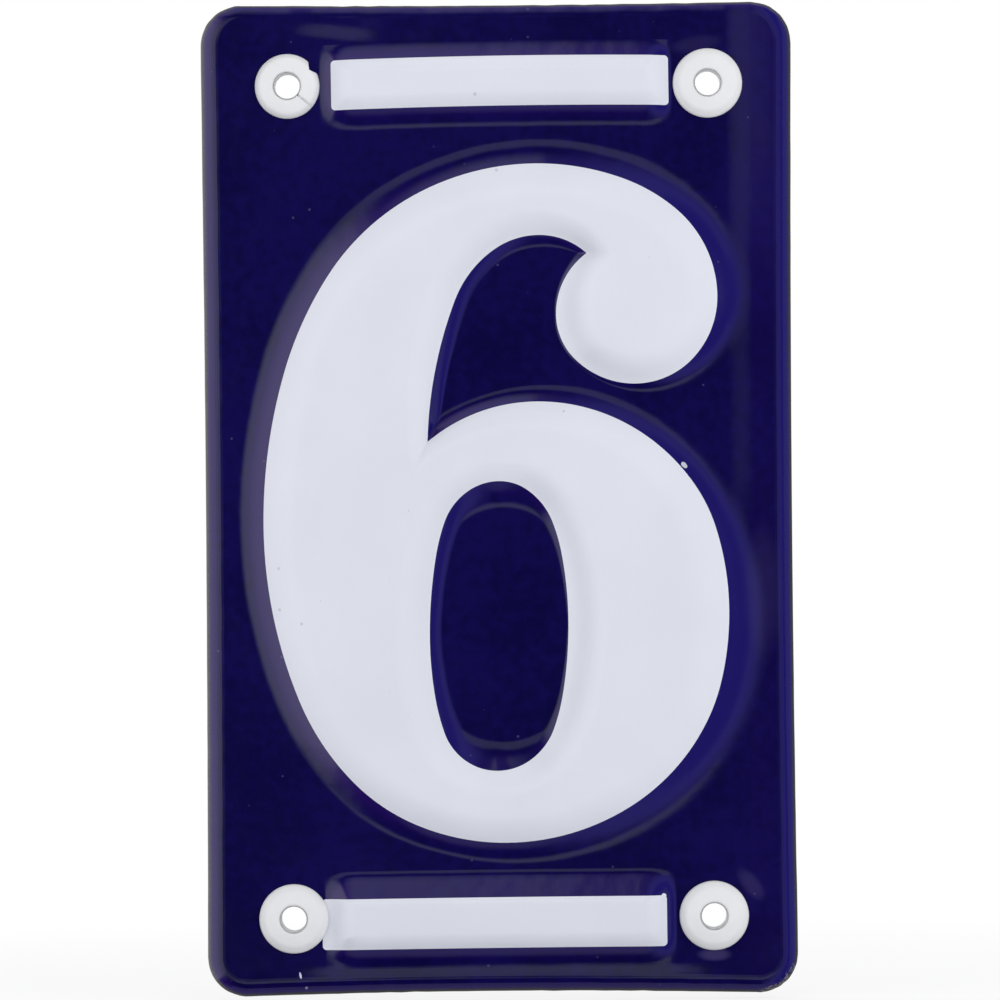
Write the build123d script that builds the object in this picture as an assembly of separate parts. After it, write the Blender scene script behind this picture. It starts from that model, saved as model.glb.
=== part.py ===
"""House number plaque: a pressed and enamelled steel plate with a raised 6, two raised bars and four bushes.

Everything is drawn lying on its back, x to the right, y up the plate and z out from the wall, and is stood
up at the end: front towards -Y, +Z up, origin on the wall behind the middle of the four holes. Millimetres.
"""
from build123d import *
import math
import os

# Plate, corner to corner, and how far the pressing drew each edge in at its middle
plate_width = 89.7
plate_height = 150.6
corner_radius = 5.8
bow_left = 0.25
bow_right = 0.4
bow_top = 0.3
bow_bottom = 0.7

# Sheet, and the border turned back to the wall
sheet = 1.0
field_height = 3.4
rim_radius = 2.4
rim_bend_steps = (30, 60, 90)

# Fixing holes: their centres' mean distance from the plate's corner edges, and how far the plate lies off
# the middle of the holes
hole_side_inset = 13.05
hole_end_inset = 12.3
hole_diameter = 6.2
plate_shift_x = -0.2
plate_shift_y = 0.2

# Share of a shoulder's drop that is left halfway across it, where its two bevels meet
shoulder_break = 0.25

# Relief of the numeral: ramps in the sheet up to the painted edge, then a shoulder to the crown. The widths
# are those of the numeral's drawing and are scaled with it.
numeral_relief = 2.7
numeral_shoulder_drop = 0.85
numeral_shoulder_width = 3.0
outer_ramp = 3.6
inner_ramp = 2.2
ball_ramp = 1.4

# Place of the numeral: margins to the plate's edges, and its small error of centring
numeral_side_margin = 9.75
numeral_end_margin = 23.95
numeral_shift_x = -0.6
numeral_shift_y = -0.5

# Bars between the bushes, and their relief
bar_height = 7.9
bar_bush_gap = 0.95
bar_outward = 0.5
bar_relief = 1.7
bar_shoulder_drop = 0.35
bar_shoulder_width = 1.3
bar_side_ramp = 3.2
bar_end_ramp = 0.9

# Bush: a bevelled head on the field and a shank through the hole to the wall
head_diameter = 10.5
head_height = 1.9
head_shoulder_diameter = 8.4
head_shoulder_drop = 0.5
bore_diameter = 3.8
shank_clearance = 0.1

# Damage of the bush at the top left: a worn head, a nick in its rim and a split from the bore
worn_head_diameter = 9.8
nick_angle = 36.0
nick_depth = 0.75
nick_width = 2.6
split_angle = -41.0
split_width = 0.3

hole_x = plate_width / 2 - hole_side_inset
hole_y = plate_height / 2 - hole_end_inset

# Outline of the 6 on its own drawing, anticlockwise from the top: x, y and heading in degrees, with a
# second heading where the outline leaves a sharp corner, then the ramp that runs down from the point.
DRAWN_WIDTH = 70.3
DRAWN_HEIGHT = 102.7
NUMERAL = [
    (6.5, 51.3, 180, 180, outer_ramp),
    (-25.1, 34.5, 237, 237, outer_ramp),
    (-35.1, -3.0, 270, 270, outer_ramp),
    (-21.9, -42.0, 314, 314, outer_ramp),
    (1.3, -51.4, 0, 0, outer_ramp),
    (31.6, -33.5, 63, 63, outer_ramp),
    (35.2, -16.6, 90, 90, outer_ramp),
    (30.2, 2.5, 124, 124, outer_ramp),
    (6.4, 15.3, 180, 180, inner_ramp),
    (-10.2, 9.3, 220, 88, inner_ramp),
    (-5.9, 30.7, 69, 69, inner_ramp),
    (6.9, 40.5, 0, 0, inner_ramp),
    (14.1, 37.7, -42, -144, ball_ramp),
    (9.4, 28.5, -90, -90, ball_ramp),
    (21.3, 17.9, 0, 0, ball_ramp),
    (33.8, 31.0, 90, 90, outer_ramp),
    (27.5, 44.4, 140, 140, outer_ramp),
]
COUNTER = [
    (0.6, 3.3, 180, 180, -inner_ramp),
    (-7.8, -3.0, 251, 251, -inner_ramp),
    (-10.1, -20.2, 270, 270, -inner_ramp),
    (-8.0, -34.7, 289, 289, -inner_ramp),
    (0.0, -40.5, 0, 0, -inner_ramp),
    (8.6, -34.2, 70, 70, -inner_ramp),
    (10.9, -18.2, 90, 90, -inner_ramp),
    (8.6, -2.9, 111, 111, -inner_ramp),
]


def biarc(start, start_heading, end, end_heading):
    """Two arcs that turn equally, leave start and reach end on the given headings and meet smoothly."""
    middle_heading = (start_heading + end_heading).normalized()
    first_chord = start_heading + middle_heading
    second_chord = middle_heading + end_heading
    reach = (end - start).cross(second_chord).Z / first_chord.cross(second_chord).Z
    middle = start + first_chord * reach
    return [TangentArc(start, middle, tangent=start_heading), TangentArc(middle, end, tangent=middle_heading)]


def placed_node(x, y, heading_in, heading_out, grow):
    """A node of the drawn numeral, moved outwards and scaled on to the plate, with its two headings."""
    angles = (math.radians(heading_in), math.radians(heading_out))
    drawn = [Vector(math.cos(angle), math.sin(angle)) for angle in angles]
    outward = [Vector(heading.Y, -heading.X) for heading in drawn]
    mitre = (outward[0] + outward[1]) * (grow / (1 + outward[0].dot(outward[1])))
    scale_x = (plate_width - 2 * numeral_side_margin) / DRAWN_WIDTH
    scale_y = (plate_height - 2 * numeral_end_margin) / DRAWN_HEIGHT
    point = Vector(scale_x * (x + mitre.X) + numeral_shift_x, scale_y * (y + mitre.Y) + numeral_shift_y)
    headings = [Vector(scale_x * heading.X, scale_y * heading.Y).normalized() for heading in drawn]
    return point, headings[0], headings[1]


def numeral_section(points, ramp_share, inset, height):
    """Face inside a numeral outline, grown by a share of each point's ramp or drawn in by an inset."""
    nodes = [placed_node(*point[:4], ramp_share * point[4] - inset) for point in points]
    edges = []
    for (start, start_in, start_out), (end, end_in, end_out) in zip(nodes, nodes[1:] + nodes[:1]):
        if start_in != start_out:
            edges.append(TangentArc(end, start, tangent=-end_in))
        elif end_in != end_out:
            edges.append(TangentArc(start, end, tangent=start_out))
        else:
            edges += biarc(start, start_out, end, end_in)
    return Pos(0, 0, height) * make_face(edges)


def raised_outline(points, side, base):
    """Block inside an outline: its ramp up from the base, then its shoulder in two bevels to the crown."""
    crown = base + numeral_relief
    width = side * numeral_shoulder_width
    return loft([
        numeral_section(points, 1, 0, base),
        numeral_section(points, 0, 0, crown - numeral_shoulder_drop),
        numeral_section(points, 0, width / 2, crown - shoulder_break * numeral_shoulder_drop),
        numeral_section(points, 0, width, crown),
    ], ruled=True)


def raised_numeral(base):
    """Block of the 6 standing on the level base, less the well of its counter."""
    return raised_outline(NUMERAL, 1, base) - raised_outline(COUNTER, -1, base)


def bar_section(end_grow, side_grow, height):
    """Rectangle of a bar, grown at its ends and along its sides."""
    length = 2 * (hole_x - head_diameter / 2 - bar_bush_gap + end_grow)
    return Pos(0, 0, height) * Rectangle(length, bar_height + 2 * side_grow)


def raised_bars(base):
    """Both bars standing on the level base, each on a line with two of the holes."""
    crown = base + bar_relief
    width = bar_shoulder_width
    bar = loft([
        bar_section(bar_end_ramp, bar_side_ramp, base),
        bar_section(0, 0, crown - bar_shoulder_drop),
        bar_section(-width / 2, -width / 2, crown - shoulder_break * bar_shoulder_drop),
        bar_section(-width, -width, crown),
    ], ruled=True)
    return [Pos(0, side * (hole_y + bar_outward), 0) * bar for side in (1, -1)]


def pan_section(inset, height):
    """Face inside the plate's outline, set in evenly."""
    x = plate_width / 2 - inset
    y = plate_height / 2 - inset
    outline = make_face([
        ThreePointArc((-x, -y), (0, bow_bottom - y), (x, -y)),
        ThreePointArc((x, -y), (x - bow_right, 0), (x, y)),
        ThreePointArc((x, y), (0, y - bow_top), (-x, y)),
        ThreePointArc((-x, y), (bow_left - x, 0), (-x, -y)),
    ])
    return Pos(0, 0, height) * fillet(outline.vertices(), corner_radius - inset)


def pan(inset, height, bend_radius):
    """Solid pan of the plate's outline, set in evenly, with its front edge bent over in flats."""
    sections = [pan_section(inset, 0), pan_section(inset, height - bend_radius)]
    for angle in rim_bend_steps:
        bend_inset = bend_radius * (1 - math.cos(math.radians(angle)))
        bend_drop = bend_radius * (1 - math.sin(math.radians(angle)))
        sections.append(pan_section(inset + bend_inset, height - bend_drop))
    return loft(sections, ruled=True)


def pressed_block(level, inset, bend_radius):
    """Everything in front of the wall up to one side of the sheet."""
    block = Pos(plate_shift_x, plate_shift_y, 0) * (pan(inset, level, bend_radius) + raised_numeral(level))
    for bar in raised_bars(level):
        block += bar
    return block


def number_plate():
    """Sheet between its pressed front and the same form one sheet further back, with the holes punched."""
    front = pressed_block(field_height, 0, rim_radius)
    back = pressed_block(field_height - sheet, sheet, rim_radius - sheet)
    punch = extrude(Circle(hole_diameter / 2), field_height)
    return front - back - [Pos(x, y, 0) * punch for x in (-hole_x, hole_x) for y in (-hole_y, hole_y)]


def bush(diameter):
    """Bush turned about its bore, on the wall's plane with a head of the diameter on the field."""
    bore = bore_diameter / 2
    shank = hole_diameter / 2 - shank_clearance
    crown = field_height + head_height
    outline = Polyline(
        (bore, 0), (shank, 0), (shank, field_height), (diameter / 2, field_height),
        (head_shoulder_diameter / 2, crown - head_shoulder_drop), (bore, crown), close=True,
    )
    return revolve(Plane.XZ * make_face(outline), Axis.Z)


def damaged_bush():
    """Bush with a worn head, a nick in its rim, and a split in its head from the bore to the rim."""
    radius = worn_head_diameter / 2
    corners = [(radius - nick_depth, 0), (radius, -nick_width / 2), (radius, nick_width / 2)]
    nick = Rot(0, 0, nick_angle) * extrude(make_face(Polyline(*corners, close=True)), 2 * head_height)
    from_bore = (Align.MIN, Align.CENTER, Align.MIN)
    split = Rot(0, 0, split_angle) * Box(head_diameter, split_width, 2 * head_height, align=from_bore)
    return bush(worn_head_diameter) - [Pos(0, 0, field_height) * damage for damage in (nick, split)]


def write(name, part):
    """Stands the part up with its front towards -Y and writes it."""
    standing = Plane.XZ * part
    standing.label = name
    export_step(standing, f"parts/{name}.step")


def main():
    os.makedirs("parts", exist_ok=True)
    whole = bush(head_diameter)
    write("number_plate", number_plate())
    write("grommet_top_left", Pos(-hole_x, hole_y, 0) * damaged_bush())
    write("grommet_top_right", Pos(hole_x, hole_y, 0) * whole)
    write("grommet_bottom_left", Pos(-hole_x, -hole_y, 0) * whole)
    write("grommet_bottom_right", Pos(hole_x, -hole_y, 0) * whole)


main()
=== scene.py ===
"""House number plaque: the enamelled plate and its four plastic bushes as an add-on for Blender.

The plate is one pressed sheet. It is drawn ring by ring on its front: border, numeral, counter, bars and
holes, and the level field between them. The white print has its own edge, which lies now high and now low
on the slopes of the relief. Front towards -Y, +Z up, origin on the wall behind the middle of the holes.
"""
import cmath
import math
from collections import namedtuple

import bmesh
import bpy
from bpy.props import FloatProperty, FloatVectorProperty, IntProperty, PointerProperty
from mathutils import Matrix, Vector, noise


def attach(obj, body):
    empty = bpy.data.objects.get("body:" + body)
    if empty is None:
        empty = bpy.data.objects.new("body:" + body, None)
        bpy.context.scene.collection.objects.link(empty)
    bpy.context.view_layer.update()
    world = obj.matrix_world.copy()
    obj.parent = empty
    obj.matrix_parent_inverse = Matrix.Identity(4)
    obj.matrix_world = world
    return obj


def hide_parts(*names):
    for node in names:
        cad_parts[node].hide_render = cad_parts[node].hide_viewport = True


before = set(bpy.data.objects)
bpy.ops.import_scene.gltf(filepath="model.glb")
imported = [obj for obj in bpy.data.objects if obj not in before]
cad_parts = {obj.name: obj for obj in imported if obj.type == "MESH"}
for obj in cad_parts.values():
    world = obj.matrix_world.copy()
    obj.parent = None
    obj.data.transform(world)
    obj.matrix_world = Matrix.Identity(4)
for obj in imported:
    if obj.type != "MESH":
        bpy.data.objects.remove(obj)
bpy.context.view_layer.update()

bl_info = {
    "name": "House Number Plaque",
    "version": (1, 0, 0),
    "blender": (4, 5, 0),
    "location": "View3D > Sidebar > Plaque",
    "description": "Builds an enamelled house number plaque with its bushes, and a stage to show it on",
    "category": "Add Mesh",
}

# A millimetre, a difference too small to count, and the places of the plate's coats.
MM = 0.001
TINY = 1e-6
BLUE, WHITE, GROUND = 0, 1, 2

# A point of the print's edge, anticlockwise, in mm: its two headings in degrees differ at a sharp corner.
# From there the relief falls to its foot and rises to its crest. Above the foot its slope grows by the power
# "hollow".
Node = namedtuple("Node", "x z heading_in heading_out foot crest hollow", defaults=(1,))
NUMERAL = [
    Node(5.9, 50.8, 180, 180, 3.8, 5.3),
    Node(-25.7, 34.0, 237, 237, 4.1, 5.0),
    Node(-35.7, -3.5, 270, 270, 3.8, 5.2),
    Node(-22.5, -42.5, 314, 314, 3.6, 5.0),
    Node(0.7, -51.9, 0, 0, 3.2, 4.8),
    Node(31.0, -34.0, 63, 63, 6.4, 5.4, 2),
    Node(34.6, -17.1, 90, 90, 6.1, 5.8, 1.3),
    Node(29.6, 2.0, 124, 124, 4.4, 5.4, 2),
    Node(5.8, 14.8, 180, 180, 2.6, 4.4),
    Node(-10.8, 8.8, 220, 88, 2.0, 2.4),
    Node(-6.5, 30.2, 69, 69, 2.2, 5.0),
    Node(6.3, 40.0, 0, 0, 2.0, 4.6),
    Node(13.5, 37.2, -42, -144, 0.9, 3.0),
    Node(8.8, 28.0, -90, -90, 0.3, 6.0),
    Node(20.7, 17.4, 0, 0, 1.3, 5.0),
    Node(33.2, 30.5, 90, 90, 5.4, 5.6, 2),
    Node(26.9, 43.9, 140, 140, 4.6, 5.2, 1.5),
]
COUNTER = [
    Node(0.0, 2.8, 180, 180, 4.2, 4.2),
    Node(-8.4, -3.5, 251, 251, 2.6, 4.6),
    Node(-10.7, -20.7, 270, 270, 2.0, 5.4),
    Node(-8.6, -35.2, 289, 289, 3.0, 5.0),
    Node(-0.6, -41.0, 0, 0, 4.7, 4.2),
    Node(8.0, -34.7, 70, 70, 1.3, 5.4),
    Node(10.3, -18.7, 90, 90, 0.2, 6.2),
    Node(8.0, -3.4, 111, 111, 1.4, 5.4),
]

# Steps up a relief, as shares of the way from the foot to the print's edge and on from there to the crest.
FOOT_STEPS = (0.0, 0.06, 0.14, 0.25, 0.4, 0.55, 0.7, 0.85, 1.0)
CREST_STEPS = (0.06, 0.15, 0.27, 0.4, 0.55, 0.7, 0.85, 1.0)

# Way a relief rises: its slope at the foot as a share of its steepest slope, and its knee and shoulder as
# shares of the way from foot to crest.
Rise = namedtuple("Rise", "foot_slope knee shoulder")
NUMERAL_RISE = Rise(0.03, 0.4, 0.44)
END_RISE = Rise(0.05, 0.35, 0.5)
BOTTOM_RISE = Rise(0.05, 0.57, 0.62)

# A bar's print in mm, its tilt in radians and how far its middle is bowed up. Then on its left, right, bottom
# and top the way down to the foot and up to the crest, and how its top side rises.
Bar = namedtuple("Bar", "left right bottom top tilt bow feet crests top_rise")
BARS = [
    Bar(
        left=-24.97, right=26.08, bottom=59.29, top=66.82, tilt=0.0082, bow=0.31,
        feet=(1.8, 0.5, 3.3, 2.4), crests=(3.4, 3.6, 2.7, 2.0), top_rise=Rise(0.35, 0.5, 0.55),
    ),
    Bar(
        left=-27.3, right=24.85, bottom=-67.86, top=-60.16, tilt=0.0045, bow=0.08,
        feet=(-0.6, 1.5, 3.0, 4.1), crests=(4.8, 3.2, 2.5, 1.0), top_rise=Rise(0.05, 0.22, 0.8),
    ),
]

# Radius of the corners of a bar's rings in mm.
BAR_CORNER = 0.6

# Border's bend on the left, right, bottom and top: its reach in from the edge in mm, and its slopes in
# degrees at shares of that reach.
Bend = namedtuple("Bend", "reach slopes")
BEND_SHARES = (1.0, 0.86, 0.73, 0.6, 0.48, 0.36, 0.26, 0.17, 0.1, 0.045, 0.0)
SOFT_SLOPES = (0, 4, 9, 16, 24, 34, 43, 54, 63, 74, 86)
CRISP_SLOPES = (12, 14, 17, 21, 27, 35, 43, 54, 63, 74, 86)
BENDS = [Bend(2.7, SOFT_SLOPES), Bend(2.7, SOFT_SLOPES), Bend(2.8, SOFT_SLOPES), Bend(1.9, CRISP_SLOPES)]

# Ripple of the edge: its waves to half the plate, the fall, gap and number of its octaves, and the least
# share of the ripple that is taken off.
RIPPLE_WAVES = 22
RIPPLE_FRACTAL = (0.7, 2.0, 3)
RIPPLE_LEAST = 0.05

# Edges to each corner and each side of a ring, and to a hole.
BAR_STEPS = (6, 48)
BORDER_STEPS = (40, 40)
HOLE_STEPS = 72

# Left, right, bottom and top, as the side that each lies on, and the two that meet at each corner,
# anticlockwise.
SIDES = (-1, 1, -1, 1)
CORNERS = ((1, 3), (3, 0), (0, 2), (2, 1))

# Each bush, as the sides that it lies on, the one that is damaged, and edges across a rounding.
BUSHES = {"top_left": (-1, 1), "top_right": (1, 1), "bottom_left": (-1, -1), "bottom_right": (1, -1)}
DAMAGED_BUSH = "top_left"
BEVEL_STEPS = 5

# A patch on the front: its middle and half sizes in mm, its turn in radians and its strength.
Patch = namedtuple("Patch", "x z half_width half_height turn strength")

# Marks of white paint on the blue.
PAINT_MARKS = [
    Patch(-30.9, -71.6, 0.2, 0.65, 0.2, 0.8),
    Patch(-30.0, -73.5, 0.28, 0.28, 0.0, 0.25),
    Patch(27.8, 5.2, 0.7, 0.45, -0.8, 0.7),
    Patch(24.2, -59.9, 0.45, 0.45, 0.0, 1.0),
]

# Patches of painted reflection: a lighter lilac sheen painted on the blue field where it reflects light.
SHEEN_PATCHES = [
    Patch(39.6, -14.0, 3.4, 12.0, 0.0, 0.2),
    Patch(37.4, -58.3, 3.4, 1.6, -0.9, 0.4),
    Patch(31.8, -68.9, 3.0, 1.2, 0.0, 0.8),
    Patch(30.2, 68.9, 4.6, 1.6, 0.15, 0.22),
]

# Corner where the edge is chipped.
CHIPS = Patch(42.3, -73.8, 4.5, 4.5, 0.0, 1.0)

# Shallow dent of the field, with its depth in mm as its strength, and how far up the field is level again,
# in half heights.
DENT = Patch(-24.4, 71.2, 7.5, 1.4, -0.1, 0.12)
DENT_END = 7.0

# Strips where the field falls away to the right: start, length and depth, then the height that each begins
# at and the height from which it has its full depth, in mm.
Fall = namedtuple("Fall", "start length depth bottom full")
FALLS = [Fall(34.0, 9.0, 0.45, 28.0, 60.0), Fall(34.5, 4.0, 0.2, -8.0, 5.0)]

# Strip below the lower bar where it falls away downwards: bottom, top and depth, and how far to each side
# of the middle it has its full depth and ends, in mm.
LowerFall = namedtuple("LowerFall", "bottom top depth full end")
LOWER_FALL = LowerFall(-72.4, -70.0, 0.15, 22.0, 34.0)

# A coat: waves of its clouds to the metre and their detail, its darkest and lightest shade, its least
# roughness and what the clouds add to it.
Coat = namedtuple("Coat", "cloud detail shades roughness spread")
BLUE_COAT = Coat(60.0, 2.0, (0.78, 1.22), 0.09, 0.04)
WHITE_COAT = Coat(70.0, 2.0, (0.985, 1.015), 0.22, 0.06)
GROUND_COAT = Coat(90.0, 5.0, (0.7, 1.5), 0.3, 0.25)
PLASTIC_COAT = Coat(300.0, 4.0, (0.97, 1.03), 0.32, 0.12)
ENAMEL_IOR = 1.5

# Specks in a coat: cells to the metre, their size as a share of a cell, and how strong they are. For all of
# them, the power that leaves few of the cells a large speck, and the width of the soft edge.
Specks = namedtuple("Specks", "density size strength")
BLUE_SPECKS = Specks(420.0, 0.12, 0.35)
WHITE_SPECKS = Specks(300.0, 0.12, 0.35)
GROUND_SPECKS = Specks(500.0, 0.2, 0.5)
SPECK_RARITY = 4.0
SPECK_EDGE = 0.03

# Unevenness of a coat's surface: its height in mm, its broad and fine waves to the metre, and the fine share.
Wave = namedtuple("Wave", "height broad fine fine_share")
BLUE_WAVE = Wave(0.12, 110.0, 900.0, 0.05)
WHITE_WAVE = Wave(0.1, 120.0, 1100.0, 0.15)
GROUND_WAVES = 700.0
GROUND_WAVE_HEIGHT = 0.1
PLASTIC_WAVE_HEIGHT = 0.04

# Mottle and grain of the blue, as waves to the metre, and the range of clouds and mottle that shows.
MOTTLE = 600.0
MOTTLE_DETAIL = 3.0
GRAIN = 2200.0
UNEVEN = (0.37, 0.63)

# Where the blue turns lighter: painted light on slopes facing left, up and down, by the square of the
# normal's tilt, of which one up or down counts less, and a thinner coat of enamel in a strip on the right,
# by mm across and up, with its strength low down and what is added high up.
SLOPE_LIGHT_TILT = (0.01, 0.25)
SLOPE_LIGHT_UPWARD = 0.6
THIN_ACROSS = (33.0, 38.5)
THIN_UP = (20.0, 50.0)
THIN_LOW, THIN_HIGH = 0.15, 0.2

# Tilt of the normal over which painted light turns the blue to a lilac reflection on slopes facing left
# and to a brighter lit blue on slopes facing right.
LEFT_LIGHT_TILT = (0.1, 0.45)
RIGHT_LIGHT_TILT = (0.01, 0.2)

# Wear of the edge, with painted shade: the ground coat shows where the enamel is worn off, and is painted
# dark where the rim turns away to the back. The normal's tilt to the back over which it sets in, how ragged
# the grain makes that, and how rough it is.
WORN_SHADED_TILT = (-0.5, -0.36)
WORN_SHADED_GRAIN = 0.25
WORN_ROUGHNESS = 0.35

# Edge of a paint mark, how ragged it is and how white the paint.
MARK_EDGE = (0.2, 0.5)
MARK_GRAIN = 0.5
MARK_SHADE = 1.05

# Chips of the edge: the tilt over which they set in, how ragged that is, and their edges by place and by
# grain.
CHIP_TILT = (-0.3, -0.15)
CHIP_GRAIN = 0.8
CHIP_EDGE = (0.1, 0.3)
CHIP_SPOTS = (0.45, 0.6)

# Range of the white's clouds that shows.
WHITE_CLOUDS = (0.25, 0.75)

# Soft lamps on both sides: size, place and radiance.
Lamp = namedtuple("Lamp", "name size place radiance")
LAMPS = [
    Lamp("right_softbox", 0.5, (0.8, -0.8, 0.1), 3.2),
    Lamp("left_softbox", 0.5, (-0.8, -0.8, 0.1), 0.3),
]

# Floor: half its size, its paper, the share of plain white that the camera sees near the plate, and the
# squares of the distances over which that share grows to the whole.
FLOOR_HALF = 2.0
PAPER = (0.86, 0.86, 0.87, 1.0)
FLOOR_NEAR = 0.8
FLOOR_FAR = (0.005, 0.06)

# Brightness of the world to matt surfaces, and the most and the least of it that gloss can meet.
MATT_LEVEL = 0.95
GLOSS_MOST = 2.0
GLOSS_LEAST = 0.004

# Cards and strips of the studio that gloss meets, as changes of brightness between two sines of the angle to
# their side.
Step = namedtuple("Step", "change start end")
LEFT_CARD = [Step(1.15, 0.04, 0.32), Step(0.3, 0.4, 0.85)]
RIGHT_CARD = [Step(0.27, 0.03, 0.3), Step(-0.17, 0.4, 0.6), Step(0.25, 0.7, 0.9)]
TOP_STRIP = [Step(0.5, 0.08, 0.17), Step(-0.5, 0.36, 0.5)]
TOP_CARD = [Step(0.74, 0.57, 0.88)]
BOTTOM_STRIP = [Step(0.65, 0.07, 0.2), Step(-0.65, 0.26, 0.42)]
BOTTOM_CARD = [Step(0.35, 0.7, 0.9)]

# The left card is a wedge that narrows to the front: the share of the ways left and up that counts, and its
# soft edge. Then where the strips end to both sides, and how much and where the top card dims to the right.
LEFT_CARD_SHARE = 0.8
LEFT_CARD_EDGE = (-0.18, 0.1)
TOP_STRIP_SPAN = (0.15, 0.4)
BOTTOM_STRIP_SPAN = (0.1, 0.3)
TOP_CARD_DIM = Step(0.8, -0.005, 0.03)

# Pale room behind the plate: where it starts and is full, its brightness, and what is added up and left.
ROOM_SPAN = (-0.1, 0.35)
ROOM_LEVEL = 0.35
ROOM_ADDED = 0.5


def length_prop(name, description, default):
    """A length in metres that a user can change."""
    return FloatProperty(name=name, description=description, default=default, unit="LENGTH")


def lengths_prop(name, description, default):
    """Several lengths in metres that a user can change."""
    return FloatVectorProperty(
        name=name, description=description, default=default, size=len(default), unit="LENGTH",
    )


def angle_prop(name, description, degrees):
    """An angle that a user can change, from its default in degrees."""
    return FloatProperty(
        name=name, description=description, default=math.radians(degrees), subtype="ANGLE",
    )


def colour_prop(name, description, default):
    """A colour that a user can change."""
    return FloatVectorProperty(
        name=name, description=description, default=default, size=3, subtype="COLOR",
    )


class PlateSizes(bpy.types.PropertyGroup):
    """Sizes of the pressed plate."""

    width: length_prop("Width", "Across the corners", 0.0897)
    height: length_prop("Height", "Up the corners", 0.1506)
    corner: length_prop("Corner", "Radius of the corners", 0.0063)
    bows: lengths_prop(
        "Bows", "How far the left, right, bottom and top edges are drawn in at their middles",
        (0.00025, 0.0004, 0.0007, 0.0003),
    )
    field: length_prop("Field", "Field in front of the wall", 0.0034)
    sheet: length_prop("Sheet", "Thickness of the sheet", 0.001)
    relief: length_prop("Relief", "Height of the numeral", 0.00269)
    bar_relief: length_prop("Bar Relief", "Height of the bars", 0.0023)
    ripple: length_prop("Ripple", "Unevenness of the edge", 0.00018)
    hole: length_prop("Hole", "Radius of the fixing holes", 0.0031)
    hole_x: length_prop("Hole Across", "Holes to the side of the middle", 0.0318)
    hole_z: length_prop("Hole Up", "Holes above and below the middle", 0.063)
    shift: lengths_prop(
        "Shift", "How far across and up the plate lies off the middle of its holes", (-0.0002, 0.0002),
    )
    level: length_prop("Level", "Level strip round a relief", 0.0003)
    arc_steps: IntProperty(name="Arc Steps", description="Edges to an arc of an outline", default=14)


class BushSizes(bpy.types.PropertyGroup):
    """Sizes of the bushes and of the damage to one of them."""

    head: length_prop("Head", "Radius of the head", 0.00525)
    worn_head: length_prop("Worn Head", "Radius of the worn head", 0.0049)
    rise: length_prop("Rise", "Height of the head on the field", 0.0019)
    bore: length_prop("Bore", "Radius of the screw hole", 0.0019)
    shank: length_prop("Shank", "Radius of the shank", 0.003)
    rim: length_prop("Rim", "Height of the head's rim", 0.0005)
    shoulder: length_prop("Shoulder", "Radius of the head's shoulder", 0.0042)
    shoulder_drop: length_prop("Shoulder Drop", "Shoulder below the crown", 0.00045)
    lip: length_prop("Lip", "Chamfer of the bore's mouth", 0.0003)
    rounding: length_prop("Rounding", "Rounding of the head's edges", 0.00035)
    nick_angle: angle_prop("Nick Angle", "Place of the nick", 36)
    nick_depth: length_prop("Nick Depth", "Depth of the nick", 0.00075)
    nick_width: length_prop("Nick Width", "Width of the nick", 0.0026)
    split_angle: angle_prop("Split Angle", "Place of the split", -41)
    split_width: length_prop("Split Width", "Half width of the split", 0.0002)
    split_depth: length_prop("Split Depth", "Depth of the split", 0.0006)
    steps: IntProperty(name="Steps", description="Sides of the turned bush", default=180)


class Colours(bpy.types.PropertyGroup):
    """Colours of the enamels and of the bushes."""

    blue: colour_prop("Blue", "Blue enamel", (0.0038, 0.002, 0.057))
    # Thinner enamel in a strip on the right, also used as painted light on slopes facing left, up and down.
    slope_lit_and_thinner_blue: colour_prop("Thin Blue", "Blue enamel where it thins", (0.011, 0.0032, 0.105))
    # Painted light: a lilac reflection on slopes facing left, and a brighter lit blue on slopes facing right.
    left_lit_blue: colour_prop("Left Blue", "Blue enamel on slopes to the left", (0.018, 0.0042, 0.1))
    right_lit_blue: colour_prop("Right Blue", "Blue enamel on slopes to the right", (0.007, 0.0034, 0.115))
    blue_speck: colour_prop("Blue Speck", "Specks in the blue", (0.09, 0.1, 0.2))
    # Painted reflection: the lilac sheen of the patches where the field reflects light.
    painted_sheen: colour_prop("Haze", "Haze on the blue", (0.045, 0.036, 0.13))
    chip: colour_prop("Chip", "Chips of the edge", (0.16, 0.15, 0.15))
    white: colour_prop("White", "White enamel", (0.71, 0.73, 0.81))
    white_speck: colour_prop("White Speck", "Specks in the white", (0.25, 0.27, 0.36))
    ground: colour_prop("Ground", "Ground coat on the back", (0.016, 0.015, 0.02))
    ground_speck: colour_prop("Ground Speck", "Specks in the ground coat", (0.12, 0.11, 0.11))
    plastic: colour_prop("Plastic", "Plastic of the bushes", (0.776, 0.782, 0.802))


class StageSizes(bpy.types.PropertyGroup):
    """Camera and floor."""

    distance: length_prop("Distance", "Camera from the wall", 1.2)
    view_width: length_prop("View Width", "Width that the view takes in", 0.1518)
    aim: lengths_prop(
        "Aim", "How far across and up the camera stands off the plate's middle", (0.00009, -0.00006),
    )
    roll: angle_prop("Roll", "Turn of the camera", -0.475)
    clip: length_prop("Clip", "Distance of the nearest thing in view", 0.01)
    floor_gap: length_prop("Floor Gap", "Floor below the plate", 0.0003)


def arc(start, heading, end, count):
    """Points along the arc that leaves start on a heading and reaches end, both ends included."""
    chord = end - start
    turn = cmath.phase(chord / heading)
    points = []
    for step in range(count + 1):
        share = step / count
        reach = abs(chord) * (math.sin(turn * share) / math.sin(turn) if abs(turn) > TINY else share)
        points.append(start + heading * cmath.rect(reach, turn * share))
    return points


def cross(first, second):
    """Cross product of two plane vectors kept as complex numbers."""
    return (first.conjugate() * second).imag


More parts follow.
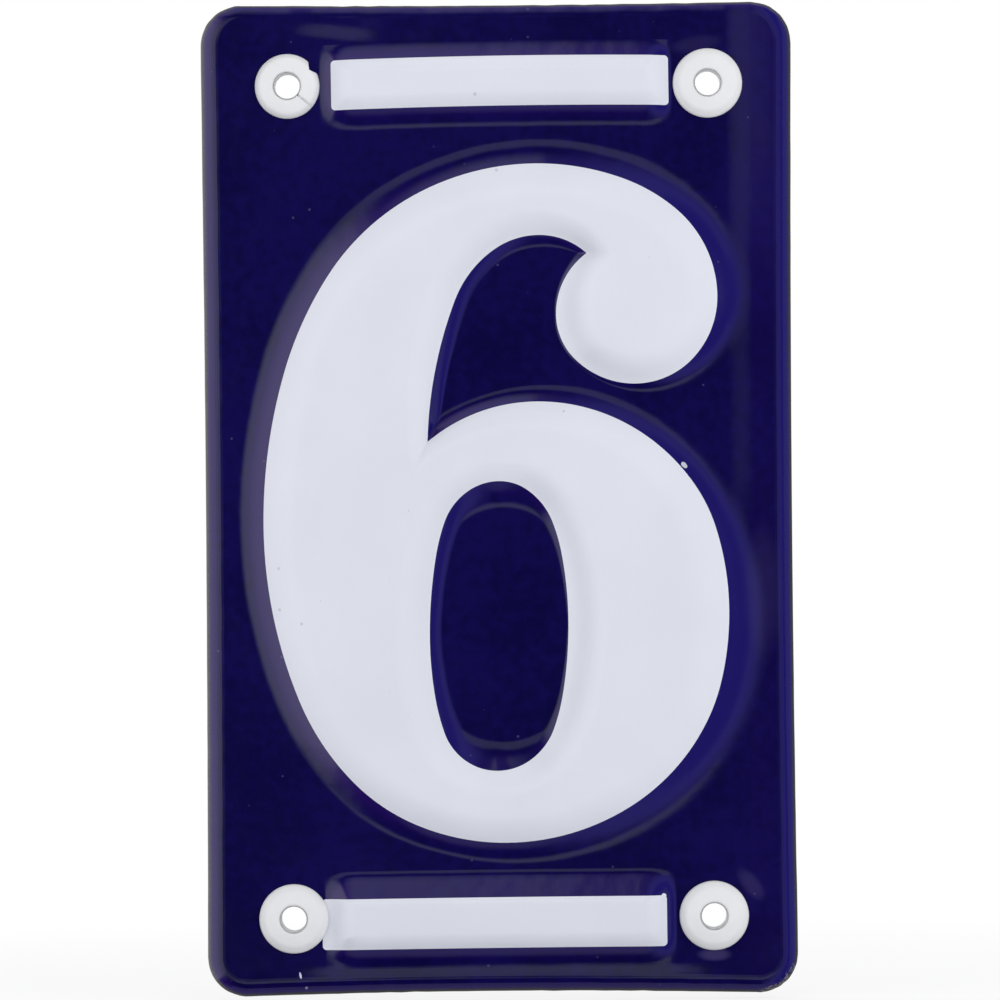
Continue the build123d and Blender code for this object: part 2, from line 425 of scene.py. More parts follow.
def biarc(start, start_heading, end, end_heading, count):
    """Points along two arcs that turn equally and join start to end on the given headings."""
    middle_heading = start_heading + end_heading
    middle_heading /= abs(middle_heading)
    first_chord = start_heading + middle_heading
    second_chord = middle_heading + end_heading
    middle = start + first_chord * cross(end - start, second_chord) / cross(first_chord, second_chord)
    return arc(start, start_heading, middle, count)[:-1] + arc(middle, middle_heading, end, count)


def placed(nodes, outward, index):
    """A node moved outwards, mitred at a sharp corner, and its two headings, turned as the move changes."""
    node = nodes[index]
    point = complex(node.x, node.z)
    heading_in = cmath.rect(1, math.radians(node.heading_in))
    heading_out = cmath.rect(1, math.radians(node.heading_out))
    normal_in, normal_out = heading_in / 1j, heading_out / 1j
    mitre = (normal_in + normal_out) * outward[index] / (1 + (normal_in.conjugate() * normal_out).real)
    if node.heading_in == node.heading_out:
        after = (index + 1) % len(nodes)
        way = sum(abs(complex(near.x, near.z) - point) for near in (nodes[index - 1], nodes[after]))
        turn = math.atan((outward[index - 1] - outward[after]) / way)
        heading_in = heading_out = heading_in * cmath.rect(1, turn)
    return point + mitre, heading_in, heading_out


def outline_ring(nodes, outward, heights, count):
    """Ring of points on the front: the nodes moved outwards and set at their heights off the wall, in mm."""
    corners = [placed(nodes, outward, index) for index in range(len(nodes))]
    ring = []
    for index, (start, start_in, start_out) in enumerate(corners):
        following = (index + 1) % len(corners)
        end, end_in, end_out = corners[following]
        # Beside a sharp corner one arc does, with the heading of its other end.
        if start_in != start_out:
            points = arc(end, -end_in, start, 2 * count)[::-1]
        elif end_in != end_out:
            points = arc(start, start_out, end, 2 * count)
        else:
            points = biarc(start, start_out, end, end_in, count)
        for step, point in enumerate(points[:-1]):
            share = step / (len(points) - 1)
            height = heights[index] + (heights[following] - heights[index]) * share
            ring.append(Vector((point.real, -height, point.imag)) * MM)
    return ring


def box_ring(sides, middles, heights, steps):
    """Ring of points round a rectangle with rounded corners, from the places of its sides, of the middles of
    its corners' arcs and its sides' heights off the wall, each left, right, bottom and top, in mm."""
    corner_steps, side_steps = steps
    arcs = []
    for quarter, (first, last) in enumerate(CORNERS):
        across, up = sorted((first, last))
        points = []
        for step in range(corner_steps + 1):
            share = step / corner_steps
            turn = math.pi / 2 * (quarter + share)
            x = middles[across] + abs(sides[across] - middles[across]) * math.cos(turn)
            z = middles[up] + abs(sides[up] - middles[up]) * math.sin(turn)
            points.append(Vector((x, -heights[first] - (heights[last] - heights[first]) * share, z)) * MM)
        arcs.append(points)
    ring = []
    for quarter, points in enumerate(arcs):
        side_end = arcs[(quarter + 1) % 4][0]
        ring += points + [points[-1].lerp(side_end, step / side_steps) for step in range(1, side_steps)]
    return ring


def border_ring(sizes, insets, heights):
    """Ring round the plate at its sides' insets and heights in mm, with each side drawn in at its middle and
    a little uneven."""
    halves = [half / (2 * MM) for half in (sizes.width, sizes.width, sizes.height, sizes.height)]
    sides = [side * (half - inset) for side, half, inset in zip(SIDES, halves, insets)]
    middles = [side * (half - sizes.corner / MM) for side, half in zip(SIDES, halves)]
    ring = box_ring(sides, middles, heights, BORDER_STEPS)
    left, right, bottom, top = sizes.bows
    for point in ring:
        across = point.x / abs(sides[point.x > 0] * MM)
        up = point.z / abs(sides[2 + (point.z > 0)] * MM)
        point.x -= across * (right if across > 0 else left) * (1 - up * up)
        point.z -= up * (top if up > 0 else bottom) * (1 - across * across)
        ripple = 0.5 + 0.5 * noise.fractal(Vector((across, 0, up)) * RIPPLE_WAVES, *RIPPLE_FRACTAL)
        point.xz -= point.xz.normalized() * (sizes.ripple * min(max(ripple, RIPPLE_LEAST), 1))
    return ring


def relief_height(outward, foot, crest, rise, power=1):
    """Share of a relief's height at a distance outside the print's edge: hollow from the foot to the knee,
    where its slope grows by a power, straight to the shoulder and round from there to the crest."""
    share = min(max((foot - outward) / (foot + crest), 0), 1)
    hollow = min(share / rise.knee, 1)
    straight = min(max(share - rise.knee, 0), rise.shoulder - rise.knee)
    turned = max(share - rise.shoulder, 0)
    gain = (1 - rise.foot_slope) / (power + 1)
    height = rise.knee * (rise.foot_slope * hollow + gain * hollow ** (power + 1))
    height += straight + turned - turned * turned / (2 * (1 - rise.shoulder))
    crest_height = rise.knee * (rise.foot_slope + gain)
    crest_height += (rise.shoulder - rise.knee) + (1 - rise.shoulder) / 2
    return height / crest_height


def relief_moves(feet, crests, level):
    """Moves of a relief's rings out from the print's edge, from level strip to crest, and their paint."""
    reaches = [max(foot, level) for foot in feet]
    moves = [([reach + level for reach in reaches], BLUE)]
    moves += [([reach * (1 - step) for reach in reaches], BLUE) for step in FOOT_STEPS]
    moves += [([-crest * step for crest in crests], WHITE) for step in CREST_STEPS]
    moves.append(([-crest - level for crest in crests], WHITE))
    return moves


def bar_height(bar, x, z):
    """Share of a bar's height at a place in mm: the rises of its four sides, multiplied."""
    outward = [side * (place - edge) for side, place, edge in zip(SIDES, (x, x, z, z), bar[:4])]
    rises = (END_RISE, END_RISE, BOTTOM_RISE, bar.top_rise)
    return math.prod(relief_height(*way) for way in zip(outward, bar.feet, bar.crests, rises))


def bent_bar(bar, ring):
    """A bar's ring, tilted about the bar's middle and bowed up there."""
    middle = Vector((bar.left + bar.right, 0, bar.bottom + bar.top)) * (MM / 2)
    half = (bar.right - bar.left) * MM / 2
    turn = Matrix.Rotation(-bar.tilt, 3, "Y")
    bent = []
    for point in ring:
        share = (point.x - middle.x) / half
        bowed = point - middle + Vector((0, 0, bar.bow * MM * (1 - share * share)))
        bent.append(middle + turn @ bowed)
    return bent


class Sheet:
    """The front of the plate, grown ring by ring."""

    def __init__(self):
        self.mesh = bmesh.new()

    def start(self, points):
        """A first ring through the points."""
        verts = bmesh.ops.create_circle(self.mesh, segments=len(points), radius=1.0)["verts"]
        for vert, point in zip(verts, points):
            vert.co = point
        return verts

    def edges(self, ring):
        """Edges of a ring."""
        return [self.mesh.edges.get((ring[index - 1], ring[index])) for index in range(len(ring))]

    def paint(self, made, coat):
        """Gives the faces among made geometry a coat."""
        for item in made:
            if isinstance(item, bmesh.types.BMFace):
                item.material_index = coat

    def grow(self, ring, points, coat):
        """The next ring after one, through the points and joined to it by coated faces."""
        made = bmesh.ops.extrude_edge_only(self.mesh, edges=self.edges(ring))["geom"]
        fresh = {item for item in made if isinstance(item, bmesh.types.BMVert)}
        grown = []
        for vert, point in zip(ring, points):
            others = [edge.other_vert(vert) for edge in vert.link_edges]
            partner = next(other for other in others if other in fresh)
            partner.co = point
            grown.append(partner)
        self.paint(made, coat)
        return grown

    def fill(self, rings, coat):
        """Level faces between rings."""
        edges = [edge for ring in rings for edge in self.edges(ring)]
        self.paint(bmesh.ops.triangle_fill(self.mesh, edges=edges, use_beauty=True)["geom"], coat)

    def crease(self, ring):
        """Makes the edges of a ring sharp."""
        for edge in self.edges(ring):
            edge.smooth = False

    def border(self, sizes):
        """The bent border, from its level strip to the wall. Returns the inner ring."""
        heights = [sizes.field / MM] * 4
        insets = [bend.reach for bend in BENDS]
        first = self.start(border_ring(sizes, [inset + sizes.level / MM for inset in insets], heights))
        ring = self.grow(first, border_ring(sizes, insets, heights), BLUE)
        self.crease(ring)
        for step in range(1, len(BEND_SHARES)):
            for side, bend in enumerate(BENDS):
                slope = math.radians(bend.slopes[step - 1] + bend.slopes[step]) / 2
                outer = bend.reach * BEND_SHARES[step]
                heights[side] -= (insets[side] - outer) * math.tan(slope)
                insets[side] = outer
            ring = self.grow(ring, border_ring(sizes, insets, heights), BLUE)
        self.grow(ring, border_ring(sizes, insets, (0, 0, 0, 0)), BLUE)
        return first

    def relief(self, nodes, side, sizes):
        """The slopes of an outline, with the print from its edge to its crest. Returns the end rings."""
        feet = [node.foot for node in nodes]
        crests = [node.crest for node in nodes]
        rings = []
        for moves, coat in relief_moves(feet, crests, sizes.level / MM):
            shares = [relief_height(move, node.foot, node.crest, NUMERAL_RISE, node.hollow)
                      for node, move in zip(nodes, moves)]
            heights = [(sizes.field + sizes.relief * share) / MM for share in shares]
            ring = outline_ring(nodes, [side * move for move in moves], heights, sizes.arc_steps)
            rings.append(self.grow(rings[-1], ring, coat) if rings else self.start(ring))
        return rings[0], rings[-1]

    def bar(self, bar, sizes):
        """A bar's slopes and its printed top. Returns the outer ring."""
        rings = []
        for moves, coat in relief_moves(bar.feet, bar.crests, sizes.level / MM):
            sides = [place + side * move for place, side, move in zip(bar[:4], SIDES, moves)]
            middles = [place - side * BAR_CORNER for place, side in zip(sides, SIDES)]
            ring = box_ring(sides, middles, (0, 0, 0, 0), BAR_STEPS)
            for point in ring:
                point.y = -sizes.field - sizes.bar_relief * bar_height(bar, point.x / MM, point.z / MM)
            ring = bent_bar(bar, ring)
            rings.append(self.grow(rings[-1], ring, coat) if rings else self.start(ring))
        self.crease(rings[1])
        self.fill([rings[-1]], WHITE)
        return rings[0]

    def hole(self, x, z, sizes):
        """A fixing hole and the level strip round it. Returns the outer ring."""
        turns = [cmath.rect(1, math.tau * step / HOLE_STEPS) for step in range(HOLE_STEPS)]
        rings = []
        for radius in (sizes.hole + sizes.level, sizes.hole):
            spokes = [radius * turn for turn in turns]
            rings.append([Vector((x + spoke.real, -sizes.field, z + spoke.imag)) for spoke in spokes])
        outer = self.start(rings[0])
        self.grow(outer, rings[1], BLUE)
        return outer


def add_piece(name, mesh, materials, replaced):
    """A shown piece from a bmesh, in place of a CAD node."""
    for face in mesh.faces:
        face.smooth = True
    data = bpy.data.meshes.new(name)
    mesh.to_mesh(data)
    mesh.free()
    piece = bpy.data.objects.new(name, data)
    for material in materials:
        data.materials.append(material)
    bpy.context.scene.collection.objects.link(piece)
    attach(piece, "root")
    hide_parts(replaced)
    return piece


class Field:
    """A value in a node tree, with arithmetic."""

    def __init__(self, tree, socket):
        self.tree = tree
        self.socket = socket

    def math(self, operation, *values):
        return self.tree.node("ShaderNodeMath", {"operation": operation}, dict(enumerate(values))).out(0)

    def __add__(self, other):
        return self.math("ADD", self, other)

    def __sub__(self, other):
        return self.math("SUBTRACT", self, other)

    def __rsub__(self, other):
        return self.math("SUBTRACT", other, self)

    def __mul__(self, other):
        return self.math("MULTIPLY", self, other)

    def __truediv__(self, other):
        return self.math("DIVIDE", self, other)

    def __pow__(self, other):
        return self.math("POWER", self, other)

    __radd__ = __add__
    __rmul__ = __mul__

    def __abs__(self):
        return self.math("ABSOLUTE", self)

    def most(self, other):
        return self.math("MAXIMUM", self, other)

    def between(self, low, high):
        """0 below low, 1 above high, and smooth from one to the other."""
        smooth = {"interpolation_type": "SMOOTHSTEP"}
        bounds = {"Value": self, "From Min": low, "From Max": high}
        return self.tree.node("ShaderNodeMapRange", smooth, bounds).out("Result")

    def between_mm(self, low, high):
        """The same, from bounds in mm."""
        return self.between(low * MM, high * MM)


class Made:
    """A node that has been added to a tree."""

    def __init__(self, tree, node):
        self.tree = tree
        self.node = node

    def out(self, key):
        return Field(self.tree, self.node.outputs[key])


class Tree:
    """A node tree and one way to add nodes to it."""

    def __init__(self, tree):
        self.tree = tree
        tree.nodes.clear()

    def node(self, kind, settings=None, inputs=None):
        node = self.tree.nodes.new(kind)
        for key, value in (settings or {}).items():
            setattr(node, key, value)
        for key, value in (inputs or {}).items():
            if isinstance(value, Field):
                self.tree.links.new(value.socket, node.inputs[key])
            else:
                node.inputs[key].default_value = value
        return Made(self, node)

    def coordinates(self, kind):
        """Texture coordinates of a kind."""
        return self.node("ShaderNodeTexCoord").out(kind)

    def axes(self, vector):
        """The three parts of a vector."""
        split = self.node("ShaderNodeSeparateXYZ", None, {0: vector})
        return split.out("X"), split.out("Y"), split.out("Z")

    def noise(self, scale, detail=2.0):
        inputs = {"Vector": self.coordinates("Object"), "Scale": scale, "Detail": detail}
        return self.node("ShaderNodeTexNoise", None, inputs).out("Fac")

    def specks(self, specks):
        """Round specks in a few of the cells: their strength inside them and 0 outside."""
        inputs = {"Vector": self.coordinates("Object"), "Scale": specks.density}
        cell = self.node("ShaderNodeTexVoronoi", None, inputs)
        chance = self.axes(cell.out("Color"))[0]
        inside = specks.size * chance ** SPECK_RARITY - cell.out("Distance")
        return inside.between(0.0, SPECK_EDGE) * specks.strength

    def across_patch(self, patch):
        """Places along and aside of a patch, in its half sizes."""
        x, _, z = self.axes(self.coordinates("Object"))
        x = x - patch.x * MM
        z = z - patch.z * MM
        along = (x * math.cos(patch.turn) + z * math.sin(patch.turn)) / (patch.half_width * MM)
        aside = (z * math.cos(patch.turn) - x * math.sin(patch.turn)) / (patch.half_height * MM)
        return along, aside

    def spot(self, patch):
        """1 in the middle of a patch, falling smoothly to 0 at its elliptic edge."""
        along, aside = self.across_patch(patch)
        return 1.0 - (along * along + aside * aside).between(0.0, 1.0)

    def ledge(self, patch, end):
        """A smooth step upwards across a patch's height, going back gently above it up to an end."""
        along, aside = self.across_patch(patch)
        step = aside.between(-1.0, 1.0) * (1.0 - aside.between(1.0, end))
        return step * (1.0 - (along * along).between(0.0, 1.0))

    def waves(self, wave):
        """Height of a coat's broad and fine waves, in metres."""
        return wave.height * MM * (self.noise(wave.broad) + wave.fine_share * self.noise(wave.fine))

    def mix(self, share, first, second):
        """A colour between two."""
        return self.node("ShaderNodeMix", {"data_type": "RGBA"}, {0: share, 6: first, 7: second}).out(2)

    def bump(self, height):
        """The normal of a surface raised by a height in metres."""
        return self.node("ShaderNodeBump", None, {"Distance": 1.0, "Height": height}).out("Normal")

    def surface(self, inputs):
        shader = self.node("ShaderNodeBsdfPrincipled", None, inputs)
        self.node("ShaderNodeOutputMaterial", None, {"Surface": shader.out("BSDF")})


def new_material(name):
    """An empty material and its tree."""
    material = bpy.data.materials.new(name)
    material.use_nodes = True
    return material, Tree(material.node_tree)


def shade(colour, factor=1.0):
    """A colour made lighter or darker, with its alpha."""
    return (*[channel * factor for channel in colour], 1.0)


def shaded(tree, share, colour, coat):
    """A colour between a coat's darkest and lightest shade."""
    darkest, lightest = coat.shades
    return tree.mix(share, shade(colour, darkest), shade(colour, lightest))


def blue_colour(tree, colours, cloud, grain, worn):
    """Blue with painted light on slopes facing left, right, up and down, thinner in a strip at the right,
    with specks, painted sheen, an edge worn to the ground coat and painted dark as shade, white marks and
    chips.
    """
    across, _, up = tree.axes(tree.coordinates("Object"))
    tilt_x, tilt_y, tilt_z = tree.axes(tree.coordinates("Normal"))
    tilt_left = (0.0 - tilt_x).most(0.0)
    uneven = (0.5 * cloud + 0.5 * tree.noise(MOTTLE, MOTTLE_DETAIL)).between(*UNEVEN)
    base = shaded(tree, uneven, colours.blue, BLUE_COAT)
    # Painted light: lighter blue on slopes facing left, up and down. The strip on the right is a thinner
    # coat.
    slope_light = (tilt_left * tilt_left + SLOPE_LIGHT_UPWARD * tilt_z * tilt_z).between(*SLOPE_LIGHT_TILT)
    strip = across.between_mm(*THIN_ACROSS) * (THIN_LOW + THIN_HIGH * up.between_mm(*THIN_UP))
    base = tree.mix(slope_light.most(strip), base, shade(colours.slope_lit_and_thinner_blue))
    # Painted light: a lilac reflection on slopes facing left and a brighter lit blue on slopes facing right.
    base = tree.mix(tilt_left.between(*LEFT_LIGHT_TILT), base, shade(colours.left_lit_blue))
    base = tree.mix(tilt_x.between(*RIGHT_LIGHT_TILT), base, shade(colours.right_lit_blue))
    base = tree.mix(tree.specks(BLUE_SPECKS), base, shade(colours.blue_speck))
    # Painted reflections: patches of lilac sheen on the field.
    for patch in SHEEN_PATCHES:
        base = tree.mix(tree.spot(patch) * patch.strength, base, shade(colours.painted_sheen))
    # The ground coat where the edge is worn, and painted shade where the rim turns away to the back.
    base = tree.mix(worn, base, shade(colours.ground))
    for patch in PAINT_MARKS:
        mark = (tree.spot(patch) + MARK_GRAIN * (grain - 0.5)).between(*MARK_EDGE)
        base = tree.mix(mark * patch.strength, base, shade(colours.white, MARK_SHADE))
    chipped = tree.spot(CHIPS) * (tilt_y + CHIP_GRAIN * grain).between(*CHIP_TILT)
    chip = chipped.between(*CHIP_EDGE) * grain.between(*CHIP_SPOTS)
    return tree.mix(chip * CHIPS.strength, base, shade(colours.chip))


def field_height(tree):
    """Height of the blue field's waves, of its dent and of the strips where it falls away, in metres."""
    across, _, up = tree.axes(tree.coordinates("Object"))
    height = tree.waves(BLUE_WAVE) - DENT.strength * MM * tree.ledge(DENT, DENT_END)
    for fall in FALLS:
        step = across.between_mm(fall.start, fall.start + fall.length)
        height = height - fall.depth * MM * step * up.between_mm(fall.bottom, fall.full)
    step = 1.0 - up.between_mm(LOWER_FALL.bottom, LOWER_FALL.top)
    ends = 1.0 - abs(across).between_mm(LOWER_FALL.full, LOWER_FALL.end)
    return height - LOWER_FALL.depth * MM * step * ends


def blue_enamel(colours):
    """Deep blue glossy enamel with painted light on its slopes and painted sheen, thinner in a strip at the
    right, worn off the plate's edge and painted dark there as shade.
    """
    material, tree = new_material("blue_enamel")
    cloud = tree.noise(BLUE_COAT.cloud, BLUE_COAT.detail)
    grain = tree.noise(GRAIN)
    tilt_to_back = tree.axes(tree.coordinates("Normal"))[1]
    # Worn edge and painted shade, where the normal tilts to the back.
    worn = (tilt_to_back + WORN_SHADED_GRAIN * grain).between(*WORN_SHADED_TILT)
    tree.surface({
        "Base Color": blue_colour(tree, colours, cloud, grain, worn),
        "Roughness": BLUE_COAT.roughness + BLUE_COAT.spread * cloud + WORN_ROUGHNESS * worn,
        "IOR": ENAMEL_IOR,
        "Normal": tree.bump(field_height(tree)),
    })
    return material


def white_enamel(colours):
    """White glossy enamel with a trace of blue."""
    material, tree = new_material("white_enamel")
    cloud = tree.noise(WHITE_COAT.cloud, WHITE_COAT.detail)
    base = shaded(tree, cloud.between(*WHITE_CLOUDS), colours.white, WHITE_COAT)
    tree.surface({
        "Base Color": tree.mix(tree.specks(WHITE_SPECKS), base, shade(colours.white_speck)),
        "Roughness": WHITE_COAT.roughness + WHITE_COAT.spread * cloud,
        "IOR": ENAMEL_IOR,
        "Normal": tree.bump(tree.waves(WHITE_WAVE)),
    })
    return material


def ground_coat(colours):
    """Dark, thinly laid ground coat on the back of the sheet."""
    material, tree = new_material("ground_coat")
    cloud = tree.noise(GROUND_COAT.cloud, GROUND_COAT.detail)
    base = shaded(tree, cloud, colours.ground, GROUND_COAT)
    tree.surface({
        "Base Color": tree.mix(tree.specks(GROUND_SPECKS), base, shade(colours.ground_speck)),
        "Roughness": GROUND_COAT.roughness + GROUND_COAT.spread * cloud,
        "Normal": tree.bump(GROUND_WAVE_HEIGHT * MM * tree.noise(GROUND_WAVES)),
    })
    return material


def bush_plastic(colours):
    """Satin white plastic."""
    material, tree = new_material("bush_plastic")
    cloud = tree.noise(PLASTIC_COAT.cloud, PLASTIC_COAT.detail)
    tree.surface({
        "Base Color": shaded(tree, cloud, colours.plastic, PLASTIC_COAT),
        "Roughness": PLASTIC_COAT.roughness + PLASTIC_COAT.spread * cloud,
        "Normal": tree.bump(PLASTIC_WAVE_HEIGHT * MM * cloud),
    })
    return material


def pressed_front(sizes):
    """Mesh of the plate's front, facing outwards."""
    sheet = Sheet()
    border = sheet.border(sizes)
    numeral_foot, numeral_crest = sheet.relief(NUMERAL, 1, sizes)
    counter_foot, counter_crest = sheet.relief(COUNTER, -1, sizes)
    bars = [sheet.bar(bar, sizes) for bar in BARS]
    across, up = sizes.shift
    holes = [sheet.hole(x * sizes.hole_x - across, z * sizes.hole_z - up, sizes)
             for x in (-1, 1) for z in (-1, 1)]
    sheet.fill([border, numeral_foot, *bars, *holes], BLUE)
    sheet.fill([counter_foot], BLUE)
    sheet.fill([numeral_crest, counter_crest], WHITE)
    bmesh.ops.translate(sheet.mesh, verts=sheet.mesh.verts, vec=(across, 0, up))
    bmesh.ops.recalc_face_normals(sheet.mesh, faces=sheet.mesh.faces)
    if sum(face.normal.y * face.calc_area() for face in sheet.mesh.faces) > 0:
        bmesh.ops.reverse_faces(sheet.mesh, faces=sheet.mesh.faces)
    return sheet.mesh


class PLAQUE_OT_plate(bpy.types.Operator):
    """Builds the pressed and enamelled plate"""

    bl_idname = "plaque.plate"
    bl_label = "Enamelled Plate"

    def execute(self, context):
        sizes = context.scene.plaque_plate
        colours = context.scene.plaque_colours
        # Behind blue and behind white lies a ground coat, GROUND places further on.
        ground = ground_coat(colours)
        coats = [blue_enamel(colours), white_enamel(colours), ground, ground]
        plate = add_piece("pressed_plate", pressed_front(sizes), coats, "number_plate")
        thickness = plate.modifiers.new("sheet", "SOLIDIFY")
        thickness.thickness = sizes.sheet
        thickness.offset = -1.0
        thickness.use_even_offset = True
        thickness.material_offset = GROUND
        thickness.material_offset_rim = GROUND
        return {"FINISHED"}


def is_hoop(edge):
    """Whether an edge of a turned piece runs round the Y axis."""
    first, last = (vert.co for vert in edge.verts)
    return abs(first.y - last.y) < TINY and abs(first.xz.length - last.xz.length) < TINY


def turned_bush(sizes, head, field):
    """A bush about the Y axis, with a head of the radius on the field and its shank back to the wall."""
    crown = field + sizes.rise
    profile = [
        (sizes.bore, 0), (sizes.shank, 0), (sizes.shank, field), (head, field),
        (head, field + sizes.rim), (sizes.shoulder, crown - sizes.shoulder_drop),
        (sizes.bore + sizes.lip, crown), (sizes.bore, crown - sizes.lip),
    ]
    mesh = bmesh.new()
    verts = [mesh.verts.new((radius, -height, 0)) for radius, height in profile]
    edges = [mesh.edges.new((verts[index - 1], verts[index])) for index in range(len(verts))]
    bmesh.ops.spin(mesh, geom=verts + edges, cent=(0, 0, 0), axis=(0, 1, 0), angle=math.tau,
                   steps=sizes.steps, use_merge=True)
    bmesh.ops.recalc_face_normals(mesh, faces=mesh.faces)
    front = -field - sizes.rim / 2
    rounded = [edge for edge in mesh.edges if is_hoop(edge) and edge.verts[0].co.y < front]
    bmesh.ops.bevel(mesh, geom=rounded, offset=sizes.rounding, offset_type="OFFSET", affect="EDGES",
                    segments=BEVEL_STEPS, profile=0.5, material=-1)
    return mesh


def damage_bush(mesh, sizes, field):
    """Breaks a nick out of the worn head's rim and splits the head from the bore outwards."""
    apex = sizes.worn_head - sizes.nick_depth
    spread = 2 * sizes.nick_depth / sizes.nick_width
    nick = cmath.rect(1, sizes.nick_angle)
    split = cmath.rect(1, sizes.split_angle)
    for vert in mesh.verts:
        if vert.co.y > TINY - field:
            continue
        place = complex(vert.co.x, vert.co.z)
        aside = abs(cmath.phase(place / nick))
        facing = math.cos(aside) - spread * math.sin(aside)
        if facing > 0:
            vert.co.xz *= min(1, apex / facing / abs(place))
        along = place / split
        if along.real > 0 and vert.co.y < -field - sizes.rim / 2:
            vert.co.y += sizes.split_depth * max(0, 1 - abs(along.imag) / sizes.split_width)


class PLAQUE_OT_bushes(bpy.types.Operator):
    """Turns the four bushes and damages the one at the top left"""

    bl_idname = "plaque.bushes"
    bl_label = "Bushes"

    def execute(self, context):
        sizes = context.scene.plaque_bush
        plate = context.scene.plaque_plate
        plastic = bush_plastic(context.scene.plaque_colours)
        for name, (x, z) in BUSHES.items():
            damaged = name == DAMAGED_BUSH
            mesh = turned_bush(sizes, sizes.worn_head if damaged else sizes.head, plate.field)
            if damaged:
                damage_bush(mesh, sizes, plate.field)
            place = Vector((x * plate.hole_x, 0, z * plate.hole_z))
            bmesh.ops.translate(mesh, verts=mesh.verts, vec=place)
            add_piece("bush_" + name, mesh, [plastic], "grommet_" + name)
        return {"FINISHED"}


def add_lamp(context, lamp):
    """A square area lamp of a set radiance that shines on the plate and is left out of its reflections."""
    data = bpy.data.lights.new(lamp.name, "AREA")
    data.size = lamp.size
    data.energy = lamp.radiance * math.pi * lamp.size * lamp.size
    piece = bpy.data.objects.new(lamp.name, data)
    piece.location = lamp.place
    piece.rotation_euler = Vector(lamp.place).to_track_quat("Z", "Y").to_euler()
    piece.visible_camera = False
    piece.visible_glossy = False
    context.scene.collection.objects.link(piece)


def floor_paper():
    """Pale paper that stays white to the camera but for the plate's shadow near it."""
    material, tree = new_material("floor_paper")
    paper = tree.node("ShaderNodeBsdfDiffuse", None, {"Color": PAPER})
    glow = tree.node("ShaderNodeEmission", None, {"Strength": 1.0})
    across, deep, _ = tree.axes(tree.coordinates("Object"))
    far = (across * across + deep * deep).between(*FLOOR_FAR)
    seen = tree.node("ShaderNodeLightPath").out("Is Camera Ray") * (FLOOR_NEAR + (1.0 - FLOOR_NEAR) * far)
    both = tree.node("ShaderNodeMixShader", None, {0: seen, 1: paper.out("BSDF"), 2: glow.out("Emission")})
    tree.node("ShaderNodeOutputMaterial", None, {"Surface": both.out("Shader")})
    return material


def add_floor(context, level):
    """A pale floor at a level."""
    mesh = bmesh.new()
    bmesh.ops.create_grid(mesh, x_segments=1, y_segments=1, size=FLOOR_HALF)
    bmesh.ops.translate(mesh, verts=mesh.verts, vec=(0, 0, level))
    data = bpy.data.meshes.new("floor")
    mesh.to_mesh(data)
    mesh.free()
    data.materials.append(floor_paper())
    floor = bpy.data.objects.new("floor", data)
    floor.visible_glossy = False
    floor.visible_shadow = False
    context.scene.collection.objects.link(floor)


def card(axis, steps):
    """Brightness of a card along an axis."""
    return sum(step.change * axis.between(step.start, step.end) for step in steps)


def studio_level(tree):
    """Brightness that gloss meets in each direction: dark in front, a bright left, pale other sides."""
    right, back, up = tree.axes(tree.coordinates("Generated"))
    left = 0.0 - right
    down = 0.0 - up
    off_level = LEFT_CARD_SHARE * up.most(0.0) + down.most(0.0)
    left_shape = (LEFT_CARD_SHARE * left - off_level).between(*LEFT_CARD_EDGE)
    room = ROOM_LEVEL + ROOM_ADDED * up.most(0.0) + ROOM_ADDED * left.most(0.0)
    dim = TOP_CARD_DIM.change * right.between(TOP_CARD_DIM.start, TOP_CARD_DIM.end)
    lights = [
        card(left, LEFT_CARD) * left_shape,
        card(right, RIGHT_CARD),
        card(up, TOP_STRIP) * (1.0 - abs(right).between(*TOP_STRIP_SPAN)),
        card(up, TOP_CARD) * (1.0 - dim),
        card(down, BOTTOM_STRIP) * (1.0 - abs(right).between(*BOTTOM_STRIP_SPAN)),
        card(down, BOTTOM_CARD),
        back.between(*ROOM_SPAN) * room,
    ]
    level = lights[0]
    for light in lights[1:]:
        level = level.most(light)
    return level.most(GLOSS_LEAST)


def grey(level):
    """A grey colour of a brightness."""
    return (level, level, level, 1.0)


def add_world(context):
    """White to the camera, an even soft light to matt surfaces, and the studio to gloss."""
    world = bpy.data.worlds.new("studio")
    world.use_nodes = True
    world.cycles.sampling_method = "NONE"
    tree = Tree(world.node_tree)
    path = tree.node("ShaderNodeLightPath")
    colour = tree.mix(studio_level(tree) / GLOSS_MOST, grey(0.0), grey(GLOSS_MOST))
    colour = tree.mix(path.out("Is Diffuse Ray"), colour, grey(MATT_LEVEL))
    colour = tree.mix(path.out("Is Camera Ray"), colour, grey(1.0))
    background = tree.node("ShaderNodeBackground", None, {"Color": colour})
    tree.node("ShaderNodeOutputWorld", None, {"Surface": background.out("Background")})
    context.scene.world = world


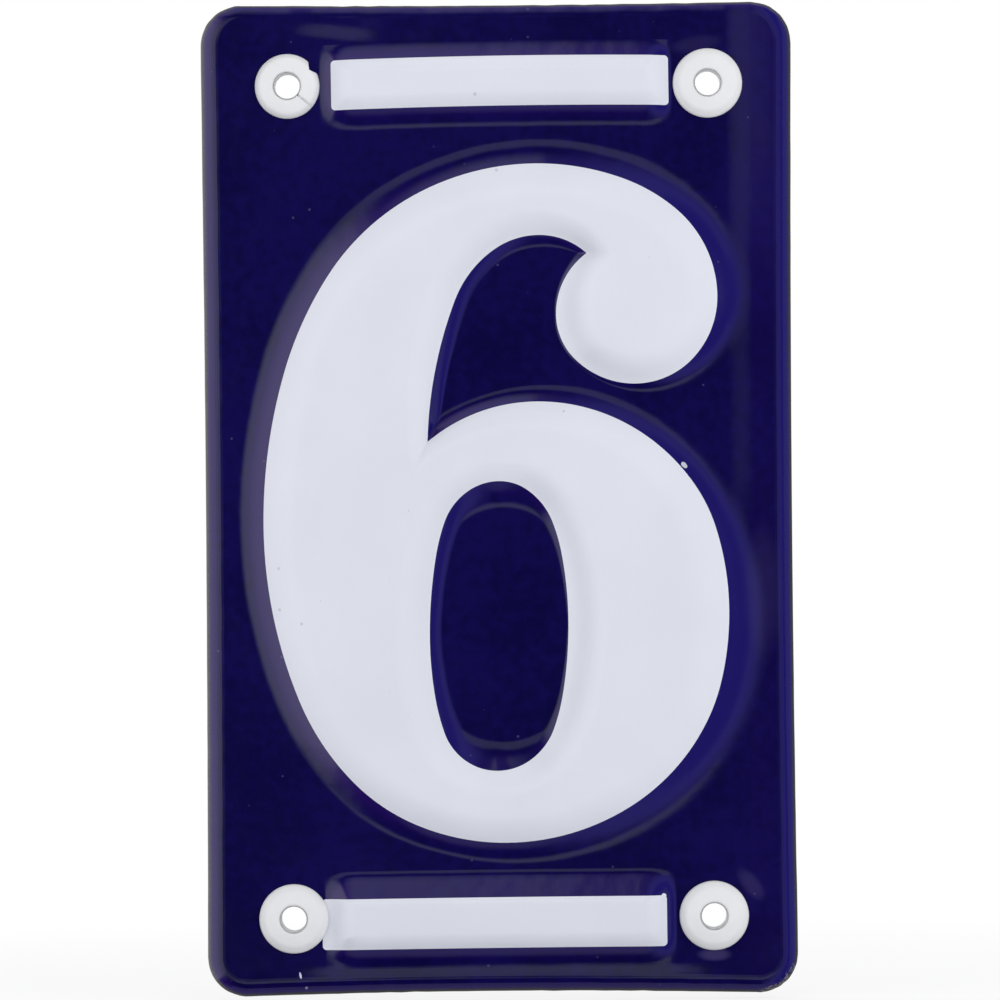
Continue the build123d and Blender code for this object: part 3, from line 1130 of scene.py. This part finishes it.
def add_camera(context, sizes, shift):
    """A long lens straight in front of the plate's middle, turned a little."""
    data = bpy.data.cameras.new("camera")
    data.lens = data.sensor_width * sizes.distance / sizes.view_width
    data.clip_start = sizes.clip
    camera = bpy.data.objects.new("camera", data)
    turn = Matrix.Rotation(math.radians(90), 4, "X") @ Matrix.Rotation(sizes.roll, 4, "Z")
    place = (shift[0] + sizes.aim[0], -sizes.distance, shift[1] + sizes.aim[1])
    camera.matrix_world = Matrix.Translation(place) @ turn
    context.scene.collection.objects.link(camera)
    context.scene.camera = camera


class PLAQUE_OT_stage(bpy.types.Operator):
    """Sets the floor, the lamps, the world and the camera"""

    bl_idname = "plaque.stage"
    bl_label = "Stage"

    def execute(self, context):
        sizes = context.scene.plaque_stage
        plate = context.scene.plaque_plate
        for lamp in LAMPS:
            add_lamp(context, lamp)
        add_floor(context, -plate.height / 2 - sizes.floor_gap)
        add_world(context)
        add_camera(context, sizes, plate.shift)
        context.scene.view_settings.view_transform = "Standard"
        return {"FINISHED"}


class PLAQUE_PT_panel(bpy.types.Panel):
    """The plaque's sizes and its build steps."""

    bl_label = "House Number Plaque"
    bl_idname = "PLAQUE_PT_panel"
    bl_space_type = "VIEW_3D"
    bl_region_type = "UI"
    bl_category = "Plaque"

    def draw(self, context):
        for name, group in GROUPS.items():
            box = self.layout.box()
            settings = getattr(context.scene, name)
            for key in group.__annotations__:
                box.prop(settings, key)
        for operator in OPERATORS:
            self.layout.operator(operator.bl_idname)


GROUPS = {
    "plaque_plate": PlateSizes,
    "plaque_bush": BushSizes,
    "plaque_colours": Colours,
    "plaque_stage": StageSizes,
}
OPERATORS = (PLAQUE_OT_plate, PLAQUE_OT_bushes, PLAQUE_OT_stage)


def register():
    for item in (*GROUPS.values(), *OPERATORS, PLAQUE_PT_panel):
        bpy.utils.register_class(item)
    for name, group in GROUPS.items():
        setattr(bpy.types.Scene, name, PointerProperty(type=group))


def unregister():
    for name in GROUPS:
        delattr(bpy.types.Scene, name)
    for item in reversed((*GROUPS.values(), *OPERATORS, PLAQUE_PT_panel)):
        bpy.utils.unregister_class(item)


def main():
    register()
    bpy.ops.plaque.plate()
    bpy.ops.plaque.bushes()
    bpy.ops.plaque.stage()


if __name__ == "__main__":
    main()
